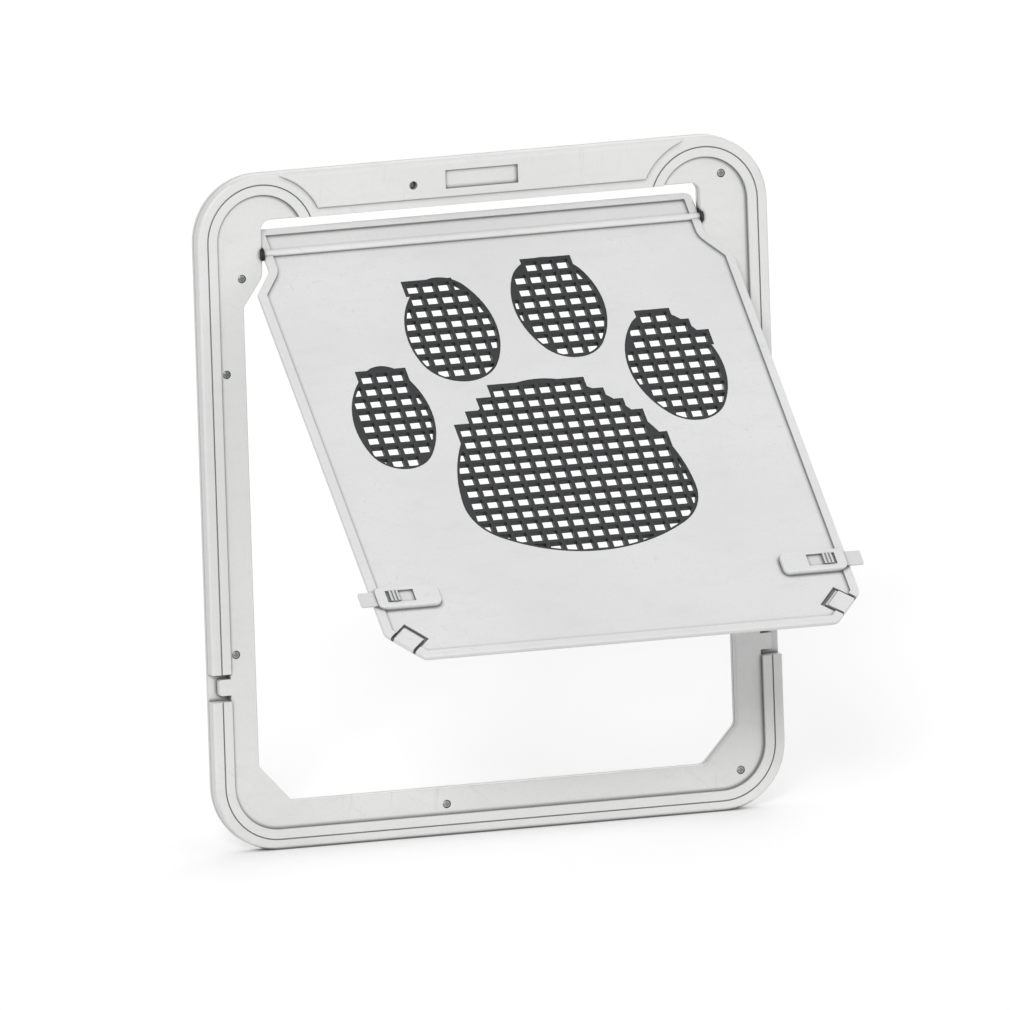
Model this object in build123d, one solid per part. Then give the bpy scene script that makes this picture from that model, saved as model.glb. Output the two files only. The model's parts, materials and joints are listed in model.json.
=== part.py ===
"""Pet door for an insect screen: a two-part frame that clamps the mesh, and a flap that swings in it.

Millimetres. X runs across the door, Z is up and the room side faces -Y. The origin is the middle of
the frame, on the plane of the screen mesh. Heights called "level" are measured from that plane
towards the room. The flap is drawn closed and then turned open about its hinge rod.
"""
import os
from math import atan2, ceil, degrees, floor, hypot, sqrt

from build123d import *

# Frame outline and thickness
frame_width = 370.0
frame_height = 420.0
corner_radius = 41.2
mesh_gap = 0.6
rim_level = 8.3
face_level = 5.3
header_level = 9.8
rear_thickness = 3.4
outer_edge_radius = 1.6
rear_edge_radius = 0.4

# Raised rim: two bands with a bead groove between them
rim_width = 12.6
groove_inset = 6.1
groove_width = 0.8
groove_depth = 0.7

# Header between the two round ears, with a bare label recess
header_height = 23.6
header_tip = 10.0
header_top_radius = 3.2
header_edge_radius = 0.9
label_width = 47.1
label_height = 11.5
label_drop = 7.0
label_depth = 1.6

# Opening for the flap
opening_top_drop = 29.0
opening_bottom_rise = 29.2
side_wall = 29.6
neck_step = 12.8
shoulder_top_drop = 64.0
knee_drop = 82.0
chamfer_width = 20.9
chamfer_height = 23.0
opening_top_radius = 6.0
shoulder_radius = 9.0
knee_radius = 4.0
chamfer_radius = 7.0
opening_edge_chamfer = 0.5

# Snap tab in a notch on each side of the rim
notch_centre_rise = 103.0
notch_height = 17.0
notch_depth = 13.0
tab_height = 10.1
tab_reach = 7.5
tab_radius = 1.6

# Frame screws. An inset is in from the nearer side, a drop is from the nearer end of the frame, and an
# offset is to the left of the centreline.
corner_screw_inset = 28.5
corner_screw_drop = 24.3
side_screw_inset = 17.0
side_screw_drop = 122.9
neck_screw_inset = 28.9
neck_screw_drop = 64.3
header_screw_offset = 44.5
header_screw_drop = 14.7
foot_screw_offset = 34.7
foot_screw_drop = 19.0
screw_head_diameter = 4.8
screw_head_height = 1.7
screw_seat_level = 3.3
screw_shank_diameter = 2.6
screw_tip_margin = 0.5
screw_head_radius = 0.6
screw_slot_length = 2.9
screw_slot_width = 0.9
screw_slot_depth = 0.8
head_clearance = 0.2
shank_clearance = 0.3
pilot_clearance = 0.05

# Rear frame's outer side
rear_band = 9.0
rear_lip = 4.0
rear_recess_depth = 0.8
rear_boss_diameter = 8.4

# Hinge rod, the barrel on the flap and the bushes in the neck walls
hinge_drop = 50.2
hinge_level = 4.5
rod_diameter = 2.5
rod_clearance = 0.05
barrel_diameter = 4.8
bush_diameter = 6.8
bush_length = 1.9
bush_stand_out = 0.7
bush_flange_diameter = 8.4
bush_foot_width = 9.4
bush_foot_height = 1.6
bush_seat_clearance = 0.05
rod_end_gap = 0.4

# Flap
flap_gap = 1.0
flap_border_level = 5.3
flap_back_level = 0.3
border_width = 5.5
border_height = 1.3
back_recess = 1.0
flap_front_radius = 0.7
flap_back_radius = 3.0
open_angle = 50.8

# Paw windows, filled with square lattices
lattice_pitch = 10.0
lattice_rib = 2.5
lattice_zero_drop = 90.0
grille_step = 0.2
grille_fit = 0.15
grille_flange = 2.0
grille_rim = 1.5
smallest_hole = 14.0
paw_drop = 1.2

# Pads of the paw. Each is a ring of rounded ends joined by longer arcs, listed clockwise from the
# top. An end is (offset across, drop below the zero line, radius), and a join is the radius after it.
heel_offset = 1.4
heel_top = (heel_offset, 138.7, 51.7)
heel_corner_spread = 41.7
heel_corner_drop = 185.0
heel_corner_radius = 33.7
heel_right = (heel_offset + heel_corner_spread, heel_corner_drop, heel_corner_radius)
heel_left = (heel_offset - heel_corner_spread, heel_corner_drop, heel_corner_radius)
heel_join = 111.0
pads = {
    "paw_grille_toe_1": (((-94.7, 79.7, 14.0), (-100.2, 129.8, 21.4)), (63.4, 63.4)),
    "paw_grille_toe_2": (((-38.1, 17.0, 19.4), (-42.1, 57.6, 26.5)), (60.8, 60.8)),
    "paw_grille_toe_3": (((32.9, 14.0, 25.6), (32.9, 49.5, 22.6)), (60.0, 60.0)),
    "paw_grille_toe_4": (((89.9, 60.7, 20.0), (94.3, 108.8, 22.9)), (60.0, 60.0)),
    "paw_grille_heel": ((heel_top, heel_right, heel_left), (heel_join, heel_join, heel_join)),
}

# Rows of whole cells that step along the tops of the pads, from the top down. Each gives how many
# cells further left the row starts, and further right it ends, than the cells with their middles inside.
step_counts = {
    "paw_grille_toe_1": ((0, 0),),
    "paw_grille_toe_2": ((1, -1),),
    "paw_grille_toe_3": ((0, 0),),
    "paw_grille_toe_4": ((0, 0), (-1, 0), (0, 0)),
    "paw_grille_heel": ((0, 0), (0, 0), (0, 0), (0, 0), (0, 0), (-1, 0)),
}

# Sliding latch, given for the right-hand side
cover_width = 41.2
cover_height = 16.0
cover_radius = 4.0
cover_edge_radius = 0.7
cover_proud = 2.7
cover_edge_gap = 2.0
cover_rise = 49.4
cover_skirt = 2.0
bolt_height = 11.0
bolt_reach = 8.7
bolt_thickness = 1.3
bolt_tail = 29.5
bolt_lift = 0.25
bolt_fit = 0.05
bolt_end_radius = 1.2
window_inner = 26.6
window_outer = 8.5
window_height = 9.4
thumb_inner = 16.4
thumb_outer = 10.6
thumb_height = 8.2
thumb_proud = 0.7
thumb_rib_count = 3
thumb_groove_depth = 0.6
stake_diameter = 1.6
stake_clearance = 0.05
stake_spacing_across = 26.0
stake_from_middle = 7.0
stake_head_diameter = 2.9
stake_head_height = 0.6

# Magnets in the bottom chamfers of flap and opening, a little above the chamfers' middles
magnet_shift = 1.2
pocket_length = 18.1
pocket_depth = 15.8
pocket_floor = 1.4
pocket_wall = 1.5
magnet_cap_length = 14.2
magnet_cap_depth = 11.2
magnet_cap_ledge = 1.8
magnet_cap_step = 1.3
magnet_cap_edge_gap = 0.3
magnet_cap_edge_radius = 0.3
flap_magnet_size = (11.0, 9.0, 2.2)
frame_magnet_size = (14.0, 4.0, 3.6)
magnet_clearance = 0.05
frame_magnet_wall = 1.2
frame_magnet_level = 0.0

# Places worked out from the sizes above
top_z = frame_height / 2
side_x = frame_width / 2
front_back_level = mesh_gap / 2
rear_front_level = -mesh_gap / 2
rear_back_level = rear_front_level - rear_thickness
ear_x = side_x - corner_radius
ear_z = top_z - corner_radius
opening_top_z = top_z - opening_top_drop
opening_bottom_z = opening_bottom_rise - top_z
opening_half = side_x - side_wall
neck_half = opening_half - neck_step
knee_z = top_z - knee_drop
hinge_z = top_z - hinge_drop
paw_zero_z = knee_z - paw_drop
latch_z = opening_bottom_z + flap_gap + cover_rise
panel_level = flap_border_level - border_height
panel_back_level = flap_back_level + back_recess
grille_front_level = panel_level - grille_step
flap_half = opening_half - flap_gap
chamfer_angle = degrees(atan2(chamfer_height, chamfer_width))
hinge_axis = Axis((0, -hinge_level, hinge_z), (-1, 0, 0))
level_tolerance = 0.01


def slab(sketch, low, high):
    """A prism of a sketch drawn in x and z, from one level to another."""
    return extrude(Plane.XZ.offset(low) * sketch, amount=high - low)


def at(x, z):
    return Pos(x, z)


def both_sides(x, z):
    return [at(x, z), at(-x, z)]


def level_edges(solid, level):
    """The edges of a solid that lie on one level."""
    return solid.edges().filter_by_position(Axis.Y, -level - level_tolerance, -level + level_tolerance)


def mirrored(solid):
    return mirror(solid, about=Plane.YZ)


# Outlines shared by the pieces

def frame_outline(inset):
    return RectangleRounded(frame_width - 2 * inset, frame_height - 2 * inset, corner_radius - inset)


def header_band(height, half_width):
    return at(0, top_z - height / 2) * Rectangle(2 * half_width, height)


def ears(radius):
    return Sketch() + [place * Circle(radius) for place in both_sides(ear_x, ear_z)]


def opening_outline():
    """Neck, sloping shoulders, straight sides and chamfered bottom corners, as one closed line."""
    right = [
        (neck_half, opening_top_z, opening_top_radius),
        (neck_half, top_z - shoulder_top_drop, shoulder_radius),
        (opening_half, knee_z, knee_radius),
        (opening_half, opening_bottom_z + chamfer_height, chamfer_radius),
        (opening_half - chamfer_width, opening_bottom_z, chamfer_radius),
    ]
    left = [(-x, z, radius) for x, z, radius in reversed(right)]
    corners = right + left
    line = FilletPolyline(*[(x, z) for x, z, _ in corners], radius=[r for _, _, r in corners], close=True)
    return make_face(line)


opening = opening_outline()
flap_outline = offset(opening, amount=-flap_gap)


def chamfer_place(shift_in):
    """The magnets' place, shift_in inwards from the opening's right-hand chamfer, with x along it."""
    middle_x = opening_half - chamfer_width / 2
    middle_z = opening_bottom_z + chamfer_height / 2
    length = hypot(chamfer_width, chamfer_height)
    outward = (chamfer_height / length, -chamfer_width / length)
    x = middle_x - outward[0] * shift_in
    z = middle_z - outward[1] * shift_in
    return Pos(x, z) * Rot(0, 0, chamfer_angle) * Pos(magnet_shift, 0)


def screw_places():
    """Four screws at the sides, two in the right-hand corners and three on the left alone."""
    places = []
    for side_screw_z in (top_z - side_screw_drop, side_screw_drop - top_z):
        places += both_sides(side_x - side_screw_inset, side_screw_z)
    for corner_screw_z in (top_z - corner_screw_drop, corner_screw_drop - top_z):
        places.append(at(side_x - corner_screw_inset, corner_screw_z))
    places.append(at(neck_screw_inset - side_x, top_z - neck_screw_drop))
    places.append(at(-header_screw_offset, top_z - header_screw_drop))
    places.append(at(-foot_screw_offset, foot_screw_drop - top_z))
    return places


# Frame

def front_frame():
    body = slab(frame_outline(0), front_back_level, rim_level)
    body = fillet(level_edges(body, rim_level), outer_edge_radius)

    inner_floor = frame_outline(rim_width) - header_band(opening_top_drop, ear_x)
    inner_floor += ears(corner_radius - rim_width)
    body -= slab(inner_floor, face_level, rim_level)

    groove = frame_outline(groove_inset) - frame_outline(groove_inset + groove_width)
    groove -= header_band(opening_top_drop, ear_x)
    turn = ears(corner_radius - groove_inset) - ears(corner_radius - groove_inset - groove_width)
    groove += turn & header_band(opening_top_drop, ear_x)
    body -= slab(groove, rim_level - groove_depth, rim_level)

    plateau_outline = header_band(header_height, ear_x - header_tip) - ears(corner_radius)
    plateau = slab(plateau_outline, face_level, header_level)
    top_edge = level_edges(plateau, header_level).filter_by(Axis.X).sort_by(Axis.Z)[-1]
    plateau = fillet(top_edge, header_top_radius)
    plateau = fillet(level_edges(plateau, header_level), header_edge_radius)
    label = at(0, top_z - label_drop - label_height / 2) * Rectangle(label_width, label_height)
    body += plateau
    body -= slab(label, header_level - label_depth, header_level)

    edge_start = Plane.XZ.offset(face_level - opening_edge_chamfer)
    body -= extrude(edge_start * opening, amount=opening_edge_chamfer, taper=-45)
    body -= slab(opening, front_back_level, header_level)
    body -= bush_form(bush_seat_clearance) + mirrored(bush_form(bush_seat_clearance))

    notch_z = notch_centre_rise - top_z
    notch = at(side_x - notch_depth / 2, notch_z) * Rectangle(notch_depth, notch_height)
    tab = at(side_x - notch_depth, notch_z) * RectangleRounded(2 * tab_reach, tab_height, tab_radius)
    cut = slab(notch - tab, front_back_level, rim_level)
    clear_tab = slab(notch, face_level, rim_level)
    body -= cut + clear_tab
    body -= mirrored(cut + clear_tab)

    body -= frame_magnet(magnet_clearance) + mirrored(frame_magnet(magnet_clearance))

    head_hole = Circle(screw_head_diameter / 2 + head_clearance)
    shank_hole = Circle(screw_shank_diameter / 2 + shank_clearance)
    for place in screw_places():
        body -= slab(place * head_hole, screw_seat_level, header_level)
        body -= slab(place * shank_hole, front_back_level, screw_seat_level)
    return body


def rear_frame():
    body = slab(frame_outline(0), rear_back_level, rear_front_level)
    body = fillet(level_edges(body, rear_back_level), rear_edge_radius)
    field = frame_outline(rear_band) - offset(opening, amount=rear_lip)
    field -= Sketch() + [place * Circle(rear_boss_diameter / 2) for place in screw_places()]
    body -= slab(field, rear_back_level, rear_back_level + rear_recess_depth)
    body -= slab(opening, rear_back_level, rear_front_level)
    pilot = Circle(screw_shank_diameter / 2 + pilot_clearance)
    for place in screw_places():
        body -= slab(place * pilot, rear_back_level, rear_front_level)
    return body


def frame_screws():
    """Nine identical pan-head screws with a cross recess."""
    tip_level = rear_back_level + screw_tip_margin
    head_top = screw_seat_level + screw_head_height
    head = slab(Circle(screw_head_diameter / 2), screw_seat_level, head_top)
    head = fillet(level_edges(head, head_top), screw_head_radius)
    shank = slab(Circle(screw_shank_diameter / 2), tip_level, screw_seat_level)
    bar = Rectangle(screw_slot_length, screw_slot_width)
    cross = slab(bar + Rot(0, 0, 90) * bar, head_top - screw_slot_depth, head_top)
    screw = head + shank - cross
    solids = [Pos(place.position.X, 0, place.position.Y) * screw for place in screw_places()]
    return Compound(children=solids)


def frame_magnet(clearance=0.0):
    """The block magnet behind the right-hand chamfer of the opening."""
    length, thickness, height = frame_magnet_size
    place = chamfer_place(-frame_magnet_wall - thickness / 2)
    block = place * Rectangle(length + 2 * clearance, thickness + 2 * clearance)
    return slab(block, frame_magnet_level, frame_magnet_level + height + clearance)


# Hinge

def hinge_rod():
    half = neck_half + bush_length - bush_stand_out - rod_end_gap
    return Pos(0, -hinge_level, hinge_z) * Rot(0, 90, 0) * Cylinder(rod_diameter / 2, 2 * half)


def bush_form(growth=0.0):
    """Right-hand bush without its bore: flange, collar, stem and a wider foot for the frame to trap."""
    length = bush_length + growth
    width = bush_diameter + 2 * growth
    foot_level = front_back_level + bush_foot_height + growth
    x = neck_half - bush_stand_out + length / 2
    flange_x = neck_half - bush_stand_out / 2
    flange = Cylinder(bush_flange_diameter / 2, bush_stand_out)
    flange = Pos(flange_x, -hinge_level, hinge_z) * Rot(0, 90, 0) * flange
    collar = Pos(x, -hinge_level, hinge_z) * Rot(0, 90, 0) * Cylinder(width / 2, length)
    stem = slab(at(x, hinge_z) * Rectangle(length, width), front_back_level, hinge_level)
    foot_width = bush_foot_width + 2 * growth
    foot = slab(at(x, hinge_z) * Rectangle(length, foot_width), front_back_level, foot_level)
    return flange + collar + stem + foot


def hinge_bush():
    bore_length = 2 * (neck_half + bush_length)
    bore_size = rod_diameter / 2 + rod_clearance
    bore = Pos(0, -hinge_level, hinge_z) * Rot(0, 90, 0) * Cylinder(bore_size, bore_length)
    return bush_form() - bore


# Paw windows

def join_centre(first, second, radius):
    """The centre of an arc that two rounded ends both touch from inside, on the ring's inner side."""
    reach_first = radius - first[2]
    reach_second = radius - second[2]
    across = second[0] - first[0]
    up = second[1] - first[1]
    gap = hypot(across, up)
    along = (reach_first**2 - reach_second**2 + gap**2) / (2 * gap)
    aside = sqrt(reach_first**2 - along**2)
    return (
        first[0] + (across * along + up * aside) / gap,
        first[1] + (up * along - across * aside) / gap,
    )


def touch_point(centre, end, radius):
    """Where an arc about a centre meets a rounded end."""
    share = radius / (radius - end[2])
    return (centre[0] + (end[0] - centre[0]) * share, centre[1] + (end[1] - centre[1]) * share)


def arc_about(centre, start, finish, radius):
    """The clockwise arc from start to finish about a centre."""
    turn_start = degrees(atan2(start[1] - centre[1], start[0] - centre[0]))
    turn_finish = degrees(atan2(finish[1] - centre[1], finish[0] - centre[0]))
    size = (turn_start - turn_finish) % 360
    return CenterArc(centre, radius, turn_start, -size)


def pad_face(pad, growth=0.0):
    """A pad's smooth outline, grown outwards by one amount."""
    ends, joins = pad
    ends = [(x, paw_zero_z - drop, radius + growth) for x, drop, radius in ends]
    joins = [radius + growth for radius in joins]
    centres = []
    starts = []
    finishes = []
    for index, radius in enumerate(joins):
        first = ends[index]
        second = ends[(index + 1) % len(ends)]
        centre = join_centre(first, second, radius)
        centres.append(centre)
        starts.append(touch_point(centre, first, radius))
        finishes.append(touch_point(centre, second, radius))
    line = Curve()
    for index, radius in enumerate(joins):
        following = (index + 1) % len(ends)
        x, z, end_radius = ends[following]
        line += arc_about(centres[index], starts[index], finishes[index], radius)
        line += arc_about((x, z), finishes[index], starts[following], end_radius)
    return make_face(line)


def lattice_rows(face):
    """Centres of the lattice cells over a pad, one list for each row from the top down."""
    box = face.bounding_box()
    first_column = floor(box.min.X / lattice_pitch) - 1
    last_column = ceil(box.max.X / lattice_pitch) + 1
    row_zero_z = paw_zero_z - lattice_zero_drop
    first_row = ceil((box.max.Y - row_zero_z) / lattice_pitch)
    last_row = floor((box.min.Y - row_zero_z) / lattice_pitch)
    rows = []
    for row in range(first_row, last_row, -1):
        z = row_zero_z + (row - 0.5) * lattice_pitch
        rows.append([((column + 0.5) * lattice_pitch, z) for column in range(first_column, last_column)])
    return rows


def whole_runs(pad, steps):
    """The stepped rows at the top of a pad, each as its unbroken run of whole cells."""
    face = pad_face(pad).faces()[0]
    rows = lattice_rows(face)
    inside = [[index for index, (x, z) in enumerate(row) if face.is_inside(Vector(x, z, 0))] for row in rows]
    filled = [(row, found) for row, found in zip(rows, inside) if found]
    return [row[found[0] - left:found[-1] + right + 1] for (row, found), (left, right) in zip(filled, steps)]


def pad_outline(pad, runs, growth):
    """A pad's outline with the stepped run of whole cells along its top, grown by one amount."""
    outline = pad_face(pad, growth)
    height = lattice_pitch + lattice_rib + 2 * growth
    for run in runs:
        width = run[-1][0] - run[0][0] + height
        outline += at((run[0][0] + run[-1][0]) / 2, run[0][1]) * Rectangle(width, height)
    return outline


def lattice_holes(pad, runs):
    """Square holes: whole ones in the runs, and elsewhere cut off along the pad's rim."""
    hole = Rectangle(lattice_pitch - lattice_rib, lattice_pitch - lattice_rib)
    stepped = [place for run in runs for place in run]
    others = [place for row in lattice_rows(pad_face(pad)) for place in row if place not in stepped]
    clipped = (Sketch() + [at(x, z) * hole for x, z in others]) & pad_face(pad, -grille_rim)
    kept = [face for face in clipped.faces() if face.area > smallest_hole]
    return Sketch() + [at(x, z) * hole for x, z in stepped] + kept


def paw_grille(pad, runs):
    """A lattice the full depth of the flap, with a flange behind the panel round its edge."""
    outline = pad_outline(pad, runs, 0)
    flange = pad_outline(pad, runs, grille_flange) - outline
    holes = lattice_holes(pad, runs)
    grid = slab(outline - holes, flap_back_level, grille_front_level)
    return grid + slab(flange, flap_back_level, panel_back_level)


# Flap

def stake_places():
    """The four heat stakes of the right-hand latch cover."""
    x = flap_half - cover_edge_gap - cover_width / 2
    z = latch_z
    half = stake_spacing_across / 2
    return [at(x + dx, z + dz) for dx in (-half, half) for dz in (-stake_from_middle, stake_from_middle)]


def latch_pad():
    """The raised floor that the bolt slides over, from the border inwards, inside the cover's skirt."""
    outer = flap_half - border_width / 2
    inner = flap_half - cover_edge_gap - cover_width + cover_skirt + bolt_fit
    height = cover_height - 2 * (cover_skirt + bolt_fit)
    z = latch_z
    return at((outer + inner) / 2, z) * Rectangle(outer - inner, height)


def magnet_pocket(growth=0.0):
    place = chamfer_place(flap_gap + pocket_depth / 2)
    return place * Rectangle(pocket_length + 2 * growth, pocket_depth + 2 * growth)


def flap_panel(pad_runs):
    body = slab(flap_outline, flap_back_level, flap_border_level)
    body = fillet(level_edges(body, flap_border_level), flap_front_radius)
    body = fillet(level_edges(body, flap_back_level), flap_back_radius)
    inner = offset(flap_outline, amount=-border_width)

    pocket_block = magnet_pocket(pocket_wall) & flap_outline
    pocket_blocks = pocket_block + mirror(pocket_block, about=Plane.YZ)
    front_recess = inner - latch_pad() - mirror(latch_pad(), about=Plane.YZ)
    body -= slab(front_recess, panel_level, flap_border_level)
    body -= slab(inner - pocket_blocks, flap_back_level, panel_back_level)

    barrel_half = neck_half - flap_gap
    barrel = Pos(0, -hinge_level, hinge_z) * Rot(0, 90, 0) * Cylinder(barrel_diameter / 2, 2 * barrel_half)
    bore_size = rod_diameter / 2 + rod_clearance
    bore = Pos(0, -hinge_level, hinge_z) * Rot(0, 90, 0) * Cylinder(bore_size, 2 * barrel_half)
    body = body + barrel - bore

    for pad, runs in pad_runs:
        body -= slab(pad_outline(pad, runs, grille_fit), flap_back_level, flap_border_level)

    pocket = slab(magnet_pocket(), flap_back_level + pocket_floor, flap_border_level)
    body -= pocket + mirrored(pocket)

    for place in stake_places():
        hole = slab(place * Circle(stake_diameter / 2 + stake_clearance), flap_back_level, flap_border_level)
        body -= hole + mirrored(hole)
    return body


def cap_place(depth, start=0.0):
    """A place at the middle of a band of the magnet cap, start in from its outer face."""
    return chamfer_place(flap_gap + magnet_cap_edge_gap + start + depth / 2)


def flap_magnet():
    length, depth, height = flap_magnet_size
    low = flap_back_level + pocket_floor
    return slab(cap_place(magnet_cap_depth) * Rectangle(length, depth), low, low + height)


def magnet_cap():
    """The cap over a flap magnet: it stands on the pocket's floor, with a moat on three sides."""
    low = flap_back_level + pocket_floor
    block = cap_place(magnet_cap_depth) * Rectangle(magnet_cap_length, magnet_cap_depth)
    ledge = cap_place(magnet_cap_ledge, magnet_cap_depth) * Rectangle(magnet_cap_length, magnet_cap_ledge)
    cap = fillet(level_edges(slab(block, low, flap_border_level), flap_border_level), magnet_cap_edge_radius)
    cap += slab(ledge, low, flap_border_level - magnet_cap_step)
    length, depth, height = flap_magnet_size
    room = Rectangle(length + 2 * magnet_clearance, depth + 2 * magnet_clearance)
    return cap - slab(cap_place(magnet_cap_depth) * room, low, low + height + magnet_clearance)


# Latches, for the right-hand side of the flap

def from_flap_edge(distance):
    return flap_half - distance


def latch_cover():
    """A low housing over the bolt: skirt round the floor pad, thumb window in front, stakes behind."""
    z = latch_z
    x = from_flap_edge(cover_edge_gap + cover_width / 2)
    front = flap_border_level + cover_proud
    shell = slab(at(x, z) * RectangleRounded(cover_width, cover_height, cover_radius), panel_level, front)
    shell = fillet(level_edges(shell, front), cover_edge_radius)

    bolt_top = flap_border_level + bolt_lift + bolt_thickness
    roof = bolt_top + bolt_fit
    channel_height = bolt_height + 2 * bolt_fit
    channel_inner = from_flap_edge(cover_edge_gap + cover_width - cover_skirt)
    channel_outer = flap_half
    channel = at((channel_inner + channel_outer) / 2, z)
    channel *= Rectangle(channel_outer - channel_inner, channel_height)
    shell -= slab(channel, panel_level, roof)

    pad_room = at((channel_inner + channel_outer) / 2, z)
    pad_room *= Rectangle(channel_outer - channel_inner, cover_height - 2 * cover_skirt)
    shell -= slab(pad_room, panel_level, flap_border_level)
    border_room = at(flap_half - border_width / 2, z) * Rectangle(border_width, 2 * cover_height)
    shell -= slab(border_room, panel_level, flap_border_level)

    window_x = from_flap_edge((window_inner + window_outer) / 2)
    window = at(window_x, z) * Rectangle(window_inner - window_outer, window_height)
    shell -= slab(window, roof, front)

    stake = Circle(stake_diameter / 2)
    head = Circle(stake_head_diameter / 2)
    for place in stake_places():
        shell += slab(place * stake, panel_back_level, flap_border_level)
        shell += slab(place * head, panel_back_level - stake_head_height, panel_back_level)
    return shell


def latch_bolt():
    """The bolt as drawn: out by its reach past the flap's edge, with a ribbed thumb piece."""
    z = latch_z
    low = flap_border_level + bolt_lift
    top = low + bolt_thickness
    length = bolt_reach + bolt_tail
    x = from_flap_edge((bolt_tail - bolt_reach) / 2)
    bolt = slab(at(x, z) * Rectangle(length, bolt_height), low, top)
    outer_corners = bolt.edges().filter_by(Axis.Y).sort_by(Axis.X)[-2:]
    bolt = fillet(outer_corners, bolt_end_radius)

    thumb_x = from_flap_edge((thumb_inner + thumb_outer) / 2)
    thumb_top = flap_border_level + cover_proud + thumb_proud
    thumb = slab(at(thumb_x, z) * Rectangle(thumb_inner - thumb_outer, thumb_height), top, thumb_top)
    band = (thumb_inner - thumb_outer) / (2 * thumb_rib_count - 1)
    for groove in range(thumb_rib_count - 1):
        offset_x = (2 * groove - thumb_rib_count + 2) * band
        cut = at(thumb_x + offset_x, z) * Rectangle(band, thumb_height)
        thumb -= slab(cut, thumb_top - thumb_groove_depth, thumb_top)
    return bolt + thumb


def opened(solid):
    """A piece of the flap, turned with it about the hinge rod."""
    return solid.rotate(hinge_axis, open_angle)


def build():
    pad_runs = {name: whole_runs(pad, step_counts[name]) for name, pad in pads.items()}
    nodes = {
        "front_frame": front_frame(),
        "rear_frame": rear_frame(),
        "frame_screws": frame_screws(),
        "frame_magnet_right": frame_magnet(),
        "hinge_bush_right": hinge_bush(),
        "hinge_rod": opened(hinge_rod()),
        "flap_panel": opened(flap_panel([(pad, pad_runs[name]) for name, pad in pads.items()])),
        "flap_magnet_right": opened(flap_magnet()),
        "magnet_cap_right": opened(magnet_cap()),
        "latch_cover_right": opened(latch_cover()),
        "latch_bolt_right": opened(latch_bolt()),
    }
    for name, pad in pads.items():
        nodes[name] = opened(paw_grille(pad, pad_runs[name]))
    for name in [name for name in nodes if name.endswith("_right")]:
        nodes[name.replace("_right", "_left")] = mirrored(nodes[name])
    return nodes


os.makedirs("parts", exist_ok=True)
for node_name, shape in build().items():
    export_step(shape, f"parts/{node_name}.step")
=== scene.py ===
"""Pet door for an insect screen: finishes, floor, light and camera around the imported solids.

Metres, in the solids' own frame: X across the door, Z up, the room on the -Y side.
"""
import json
from math import cos, radians, sin

import bpy
from mathutils import Matrix, Vector


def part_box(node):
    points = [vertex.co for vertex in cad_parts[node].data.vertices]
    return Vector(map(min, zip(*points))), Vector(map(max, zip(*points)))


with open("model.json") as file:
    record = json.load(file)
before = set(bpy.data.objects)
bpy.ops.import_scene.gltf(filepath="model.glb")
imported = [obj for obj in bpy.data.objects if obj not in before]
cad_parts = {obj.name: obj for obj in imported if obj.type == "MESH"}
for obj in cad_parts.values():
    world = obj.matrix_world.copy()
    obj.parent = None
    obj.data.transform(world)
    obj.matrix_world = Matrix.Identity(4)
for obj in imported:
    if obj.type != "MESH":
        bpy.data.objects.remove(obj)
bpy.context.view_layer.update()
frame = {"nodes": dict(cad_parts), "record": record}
scene = bpy.context.scene

# Camera
view_azimuth = radians(-18.70)
view_elevation = radians(9.10)
view_roll = radians(-1.91)
view_centre = Vector((0.0084, -0.0083, -0.0081))
view_width = 0.6202
view_distance = 2.0
view_depth = 30.0

# Light: a direction points from the door to the sun
world_strength = 0.52
key_direction = (-0.42, -0.95, 0.42)
key_strength = 1.35
key_softness = radians(12)
fill_direction = (0.80, -0.60, 0.35)
fill_strength = 0.22
fill_softness = radians(40)
back_direction = (0.45, 0.85, 0.55)
back_strength = 0.60
back_softness = radians(50)

# Floor: its own light towards the background rays, less near what stands on it as a painted contact
# shadow
floor_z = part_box("front_frame")[0].z
floor_half = 9.0
floor_tones = ((0.78, 0.78, 0.78), (0.80, 0.80, 0.80))
floor_cloud_scale = 3.0
floor_lift = 0.38
floor_shadow_reach = 0.12

# Colours
white = (1.0, 1.0, 1.0)
frame_white = (0.80, 0.805, 0.795)
flap_white = (0.80, 0.805, 0.80)
bolt_grey = (0.74, 0.745, 0.74)
grille_charcoal = (0.014, 0.015, 0.017)
bush_black = (0.020, 0.020, 0.022)
rod_grey = (0.66, 0.66, 0.65)
screw_grey = (0.36, 0.39, 0.39)
# Dark colour of the painted shade in the recesses of steel
steel_shade_colour = (0.10, 0.09, 0.08)
magnet_tones = ((0.13, 0.13, 0.14), (0.22, 0.22, 0.23))

# Patterns of moulded plastic: scales in cells a metre, and the span of values that counts
cloud_scale = 9.0
cloud_span = (0.3, 0.7)
smear_scale = 38.0
smear_lengths = (1.0, 1.0, 0.3)
smear_span = (0.50, 0.75)
speckle_scale = 620.0
speckle_span = (0.35, 0.75)
scratch_scale = 260.0
scratch_span = (0.66, 0.74)
scratch_leans_and_lengths = (
    (radians(8), (0.5, 1.0, 13.0)),
    (radians(-52), (0.6, 1.0, 10.0)),
)
scuffed_span = (0.42, 0.60)
scuffed_share = 0.5
grain_scale = 1500.0

# Edges, and the painted shade of corners and seam lines: spans of the normal's lean and of the open
# outlook
edge_span = (0.995, 0.80)
edge_samples = 6
hollow_shade_reach = 0.008
hollow_shade_span = (0.75, 0.15)
seam_shade_reach = 0.0028
seam_shade_span = (0.96, 0.58)
outlook_samples = 8

# Layers of moulded plastic: how much of each shows, and its tone as a factor on the colour
cloud_tones = (0.95, 1.02)
smear_amount, smear_tone = 0.30, 0.84
speckle_amount, speckle_tone = 0.16, 0.80
scratch_amount, scratch_tone = 0.60, 0.68
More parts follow.
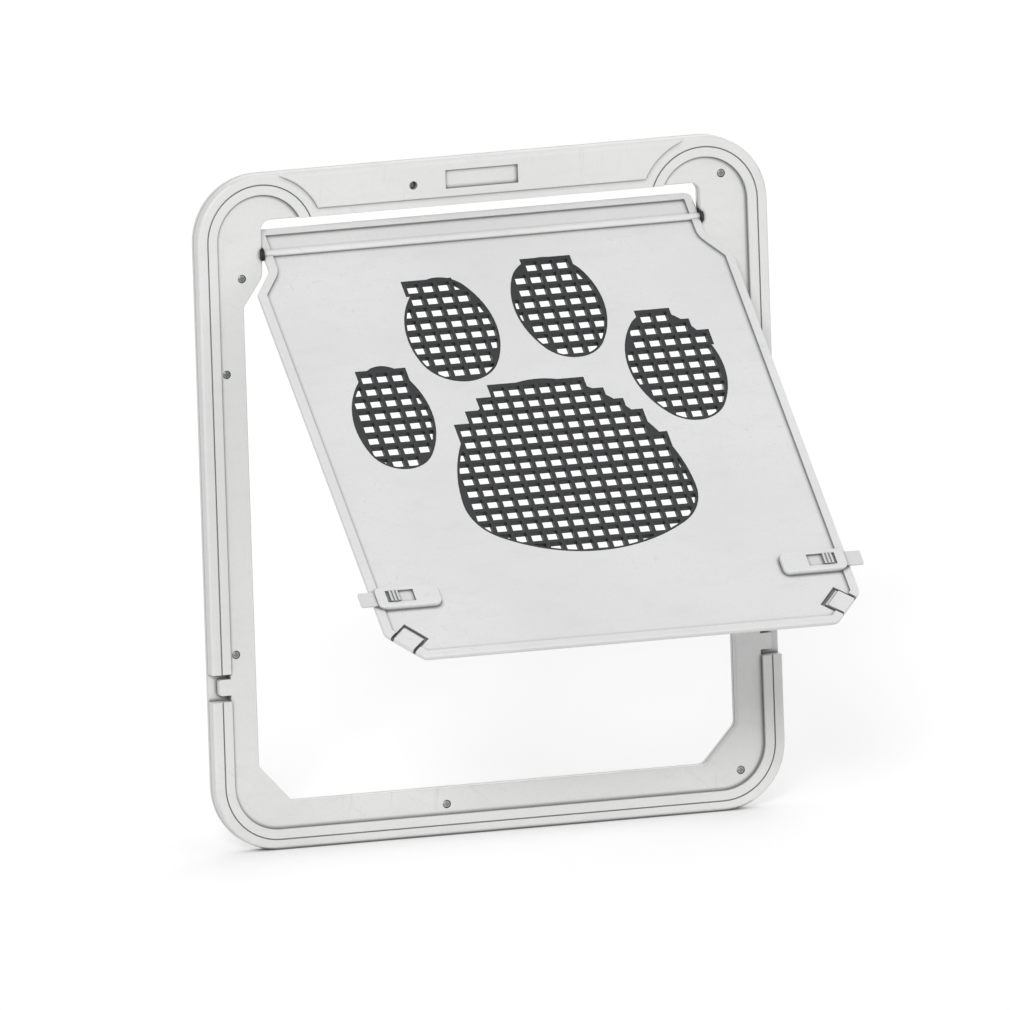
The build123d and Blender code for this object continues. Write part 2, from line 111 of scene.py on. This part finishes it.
# The hollow and seam layers are painted shade: darker in corners and in thin lines at the feet of steps
# and in gaps
hollow_shade_amount, hollow_shade_tone = 0.55, 0.40
seam_shade_amount, seam_shade_tone = 0.825, 0.12
rubbed_amount, rubbed_tone = 0.25, 1.06

# Roughness of moulded plastic, as changes of its plain value, and its relief
smear_gloss_span = (0.25, 0.75)
smear_polish = 0.07
smear_dullness = 0.08
rubbed_polish = 0.08
scratch_dullness = 0.12
hollow_dullness = 0.15
grain_depth = 0.00006
cloud_relief = 0.12
cloud_depth = 0.0006
plastic_index = 1.5

# Steel
streak_scale = 900.0
streak_span = (0.3, 0.7)
streak_polish = 0.08
streak_dullness = 0.12
streak_relief = 0.25
streak_depth = 0.00003
rod_streaks = (50.0, 1.0, 1.0)
screw_streaks = (1.0, 1.0, 1.0)
stain_scale = 120.0
stain_span = (0.35, 0.7)
stain_tones = (0.88, 1.05)
steel_shade_reach = 0.002
steel_shade_amount = 0.6
steel_edge_radius = 0.0002

# Sintered magnet
pore_scale = 1400.0
pore_tone_span = (0.4, 0.7)
pore_gloss_span = (0.3, 0.7)
pore_roughness = (0.35, 0.55)
pore_relief = 0.4
pore_depth = 0.00005
magnet_edge_radius = 0.0003
magnet_metallic = 0.8


def make_camera():
    """A parallel view, because the drawing's parallel edges stay parallel."""
    back = Vector((
        sin(view_azimuth) * cos(view_elevation),
        -cos(view_azimuth) * cos(view_elevation),
        sin(view_elevation),
    ))
    level_right = Vector((cos(view_azimuth), sin(view_azimuth), 0.0))
    level_up = back.cross(level_right)
    right = level_right * cos(view_roll) + level_up * sin(view_roll)
    up = back.cross(right)
    data = bpy.data.cameras.new("camera")
    data.type = "ORTHO"
    data.ortho_scale = view_width
    data.clip_end = view_depth
    camera = bpy.data.objects.new("camera", data)
    turn = Matrix((right, up, back)).transposed().to_4x4()
    camera.matrix_world = Matrix.Translation(view_centre + back * view_distance) @ turn
    scene.collection.objects.link(camera)
    scene.camera = camera


# Node helpers

class Graph:
    """The node tree of a material or the world, with short calls for the nodes used here."""

    def __init__(self, owner):
        owner.use_nodes = True
        self.tree = owner.node_tree
        self.tree.nodes.clear()

    def add(self, kind, inputs=None, **settings):
        node = self.tree.nodes.new(kind)
        for key, value in settings.items():
            setattr(node, key, value)
        for key, value in (inputs or {}).items():
            self.feed(node.inputs[key], value)
        return node

    def feed(self, socket, value):
        if isinstance(value, bpy.types.NodeSocket):
            self.tree.links.new(value, socket)
        else:
            socket.default_value = value

    def math(self, operation, a, b):
        return self.add("ShaderNodeMath", {0: a, 1: b}, operation=operation).outputs[0]

    def times(self, a, b):
        return self.math("MULTIPLY", a, b)

    def background_ray(self):
        """One for the rays that see a plain white ground: from the camera, reflected or let through."""
        path = self.add("ShaderNodeLightPath").outputs
        seen = self.math("MAXIMUM", path["Is Camera Ray"], path["Is Glossy Ray"])
        return self.math("MAXIMUM", seen, path["Is Transmission Ray"])


class MaterialGraph(Graph):
    """The node tree of a new material, with patterns that keep to the object's own place."""

    def __init__(self, name):
        self.material = bpy.data.materials.new(name)
        super().__init__(self.material)
        self.position = self.add("ShaderNodeTexCoord").outputs["Object"]

    def stretched(self, lengths, lean=0.0):
        """The place in a pattern drawn out by these lengths, along axes that lean about Y."""
        inputs = {"Vector": self.position, "Rotation": (0.0, lean, 0.0), "Scale": lengths}
        return self.add("ShaderNodeMapping", inputs, vector_type="TEXTURE").outputs["Vector"]

    def noise(self, scale, detail=3.0, roughness=0.5, vector=None):
        inputs = {
            "Vector": vector or self.position,
            "Scale": scale,
            "Detail": detail,
            "Roughness": roughness,
        }
        return self.add("ShaderNodeTexNoise", inputs).outputs["Fac"]

    def remap(self, value, span, low, high):
        """From low to high while the value goes from one end of the span to the other."""
        start, end = span
        inputs = {"Value": value, "From Min": start, "From Max": end, "To Min": low, "To Max": high}
        return self.add("ShaderNodeMapRange", inputs).outputs["Result"]

    def mask(self, value, span, amount=1.0):
        return self.remap(value, span, 0.0, amount)

    def mix(self, factor, a, b):
        """The mix of two colours, at the numbers that a Mix node has for its colour sockets."""
        return self.add("ShaderNodeMix", {0: factor, 6: a, 7: b}, data_type="RGBA").outputs[2]

    def soft_edges(self, radius):
        return self.add("ShaderNodeBevel", {"Radius": radius}, samples=edge_samples).outputs["Normal"]

    def edge_mask(self, softened):
        """One near an edge and zero on the flats, from how far the softened normal leans."""
        true_normal = self.add("ShaderNodeNewGeometry").outputs["Normal"]
        normals = {0: softened, 1: true_normal}
        lean = self.add("ShaderNodeVectorMath", normals, operation="DOT_PRODUCT")
        return self.mask(lean.outputs["Value"], edge_span)

    def outlook(self, reach):
        """The share of the directions from a point in which nothing lies within reach."""
        inputs = {"Distance": reach}
        return self.add("ShaderNodeAmbientOcclusion", inputs, samples=outlook_samples).outputs["AO"]

    def nooks(self, reach, span):
        """One deep in a corner or groove and zero on open faces."""
        return self.mask(self.outlook(reach), span)

    def bump(self, height, strength, distance, normal):
        inputs = {"Height": height, "Strength": strength, "Distance": distance, "Normal": normal}
        return self.add("ShaderNodeBump", inputs).outputs["Normal"]

    def finish(self, **inputs):
        named = {key.replace("_", " "): value for key, value in inputs.items()}
        shader = self.add("ShaderNodeBsdfPrincipled", named).outputs["BSDF"]
        self.add("ShaderNodeOutputMaterial", {"Surface": shader})
        return self.material


def shade(colour, factor=1.0):
    """A colour times a factor, as the four values of a colour socket."""
    return tuple(channel * factor for channel in colour) + (1.0,)


# Materials

def scratch_lines(g):
    """Long fine scratches in a few directions: one along a scratch and zero beside it."""
    lines = []
    for lean, lengths in scratch_leans_and_lengths:
        pattern = g.noise(scratch_scale, detail=2.0, vector=g.stretched(lengths, lean))
        lines.append(g.mask(pattern, scratch_span))
    return g.math("MAXIMUM", *lines)


def moulded_plastic(name, colour, roughness, grain, edge_radius):
    """Injection-moulded plastic: eroded grain, smears, scratches, painted shade in corners and along
    seam lines, rubbed edges.
    """
    g = MaterialGraph(name)
    clouds = g.noise(cloud_scale, detail=4.0)
    speckle = g.noise(speckle_scale, detail=2.0)
    smears = g.noise(smear_scale, detail=6.0, roughness=0.65, vector=g.stretched(smear_lengths))
    scratches = g.times(scratch_lines(g), g.mask(clouds, scuffed_span, scuffed_share))
    softened = g.soft_edges(edge_radius)
    rubbed = g.edge_mask(softened)
    # Painted shade: darker in corners and in thin lines along steps and gaps, where the outlook is
    # closed
    hollow_shade = g.nooks(hollow_shade_reach, hollow_shade_span)
    seam_shade = g.nooks(seam_shade_reach, seam_shade_span)

    body = g.mix(g.mask(clouds, cloud_span), *(shade(colour, tone) for tone in cloud_tones))
    layers = (
        (g.mask(smears, smear_span, smear_amount), smear_tone),
        (g.mask(speckle, speckle_span, speckle_amount), speckle_tone),
        (g.times(scratches, scratch_amount), scratch_tone),
        (g.times(hollow_shade, hollow_shade_amount), hollow_shade_tone),
        (g.times(seam_shade, seam_shade_amount), seam_shade_tone),
        (g.times(rubbed, rubbed_amount), rubbed_tone),
    )
    for layer, tone in layers:
        body = g.mix(layer, body, shade(colour, tone))

    gloss = g.remap(smears, smear_gloss_span, roughness - smear_polish, roughness + smear_dullness)
    gloss = g.math("SUBTRACT", gloss, g.times(rubbed, rubbed_polish))
    gloss = g.math("ADD", gloss, g.times(scratches, scratch_dullness))
    gloss = g.math("ADD", gloss, g.times(hollow_shade, hollow_dullness))

    relief = g.bump(g.noise(grain_scale, detail=2.0), grain, grain_depth, softened)
    relief = g.bump(clouds, cloud_relief, cloud_depth, relief)
    return g.finish(Base_Color=body, Roughness=gloss, Normal=relief, IOR=plastic_index)


def steel(name, colour, roughness, streaks):
    """Bright steel, stained, with painted shade in its recesses, and streaks drawn out by these
    lengths.
    """
    g = MaterialGraph(name)
    lines = g.noise(streak_scale, vector=g.stretched(streaks))
    stain = g.mask(g.noise(stain_scale, detail=4.0), stain_span)
    # Painted shade: darker in recesses, where the outlook is closed
    painted_steel_shade = g.times(g.nooks(steel_shade_reach, hollow_shade_span), steel_shade_amount)
    body = g.mix(stain, *(shade(colour, tone) for tone in stain_tones))
    body = g.mix(painted_steel_shade, body, shade(steel_shade_colour))
    gloss = g.remap(lines, streak_span, roughness - streak_polish, roughness + streak_dullness)
    relief = g.bump(lines, streak_relief, streak_depth, g.soft_edges(steel_edge_radius))
    return g.finish(Base_Color=body, Roughness=gloss, Normal=relief, Metallic=1.0)


def sintered_magnet(name):
    """Dark sintered metal with fine pores."""
    g = MaterialGraph(name)
    pores = g.noise(pore_scale)
    body = g.mix(g.mask(pores, pore_tone_span), *(shade(tone) for tone in magnet_tones))
    gloss = g.remap(pores, pore_gloss_span, *pore_roughness)
    relief = g.bump(pores, pore_relief, pore_depth, g.soft_edges(magnet_edge_radius))
    return g.finish(Base_Color=body, Roughness=gloss, Normal=relief, Metallic=magnet_metallic)


def make_materials():
    """One material for each slot of the record."""
    plastics = (
        # name, colour, roughness, grain, edge radius
        ("frame_plastic", frame_white, 0.46, 0.5, 0.0004),
        ("flap_plastic", flap_white, 0.42, 0.4, 0.0004),
        ("latch_plastic", flap_white, 0.32, 0.2, 0.0003),
        ("bolt_plastic", bolt_grey, 0.30, 0.2, 0.0003),
        ("cap_plastic", flap_white, 0.38, 0.3, 0.0003),
        ("grille_plastic", grille_charcoal, 0.42, 0.5, 0.0005),
        ("bush_plastic", bush_black, 0.38, 0.2, 0.0003),
    )
    steels = (
        # name, colour, roughness, streaks
        ("rod_steel", rod_grey, 0.28, rod_streaks),
        ("screw_steel", screw_grey, 0.34, screw_streaks),
    )
    materials = {name: moulded_plastic(name, *looks) for name, *looks in plastics}
    materials |= {name: steel(name, *looks) for name, *looks in steels}
    materials["magnet"] = sintered_magnet("magnet")
    return materials


def dress_nodes(materials):
    for part in frame["record"]["subparts"]:
        node = frame["nodes"][part["node"]]
        node.data.materials.clear()
        node.data.materials.append(materials[part["material_slot"]])


# Surroundings

def make_floor():
    mesh = bpy.data.meshes.new("floor")
    corners = ((-1, -1), (1, -1), (1, 1), (-1, 1))
    points = [(x * floor_half, y * floor_half, floor_z) for x, y in corners]
    mesh.from_pydata(points, [], [(0, 1, 2, 3)])
    floor = bpy.data.objects.new("floor", mesh)
    scene.collection.objects.link(floor)
    g = MaterialGraph("floor_paint")
    paint = g.mix(g.noise(floor_cloud_scale), *(shade(tone) for tone in floor_tones))
    # Painted contact shadow: the floor's own light fades where little is open around it, near what
    # stands on it
    shadowed_glow = g.times(g.times(g.background_ray(), floor_lift), g.outlook(floor_shadow_reach))
    mesh.materials.append(g.finish(
        Base_Color=paint,
        Roughness=1.0,
        Emission_Color=shade(white),
        Emission_Strength=shadowed_glow,
    ))


def make_world():
    """Soft light all round, which looks white to the camera and in reflections."""
    world = bpy.data.worlds.new("world")
    scene.world = world
    g = Graph(world)
    light = g.add("ShaderNodeBackground", {"Color": shade(white), "Strength": world_strength})
    ground = g.add("ShaderNodeBackground", {"Color": shade(white)})
    shaders = {0: g.background_ray(), 1: light.outputs[0], 2: ground.outputs[0]}
    surface = g.add("ShaderNodeMixShader", shaders).outputs[0]
    g.add("ShaderNodeOutputWorld", {"Surface": surface})


def make_sun(name, direction, strength, softness):
    data = bpy.data.lights.new(name, "SUN")
    data.energy = strength
    data.angle = softness
    lamp = bpy.data.objects.new(name, data)
    lamp.rotation_euler = Vector(direction).to_track_quat("Z", "Y").to_euler()
    scene.collection.objects.link(lamp)


make_camera()
scene.view_settings.view_transform = "Standard"
dress_nodes(make_materials())
make_floor()
make_world()
make_sun("key", key_direction, key_strength, key_softness)
make_sun("fill", fill_direction, fill_strength, fill_softness)
make_sun("back", back_direction, back_strength, back_softness)
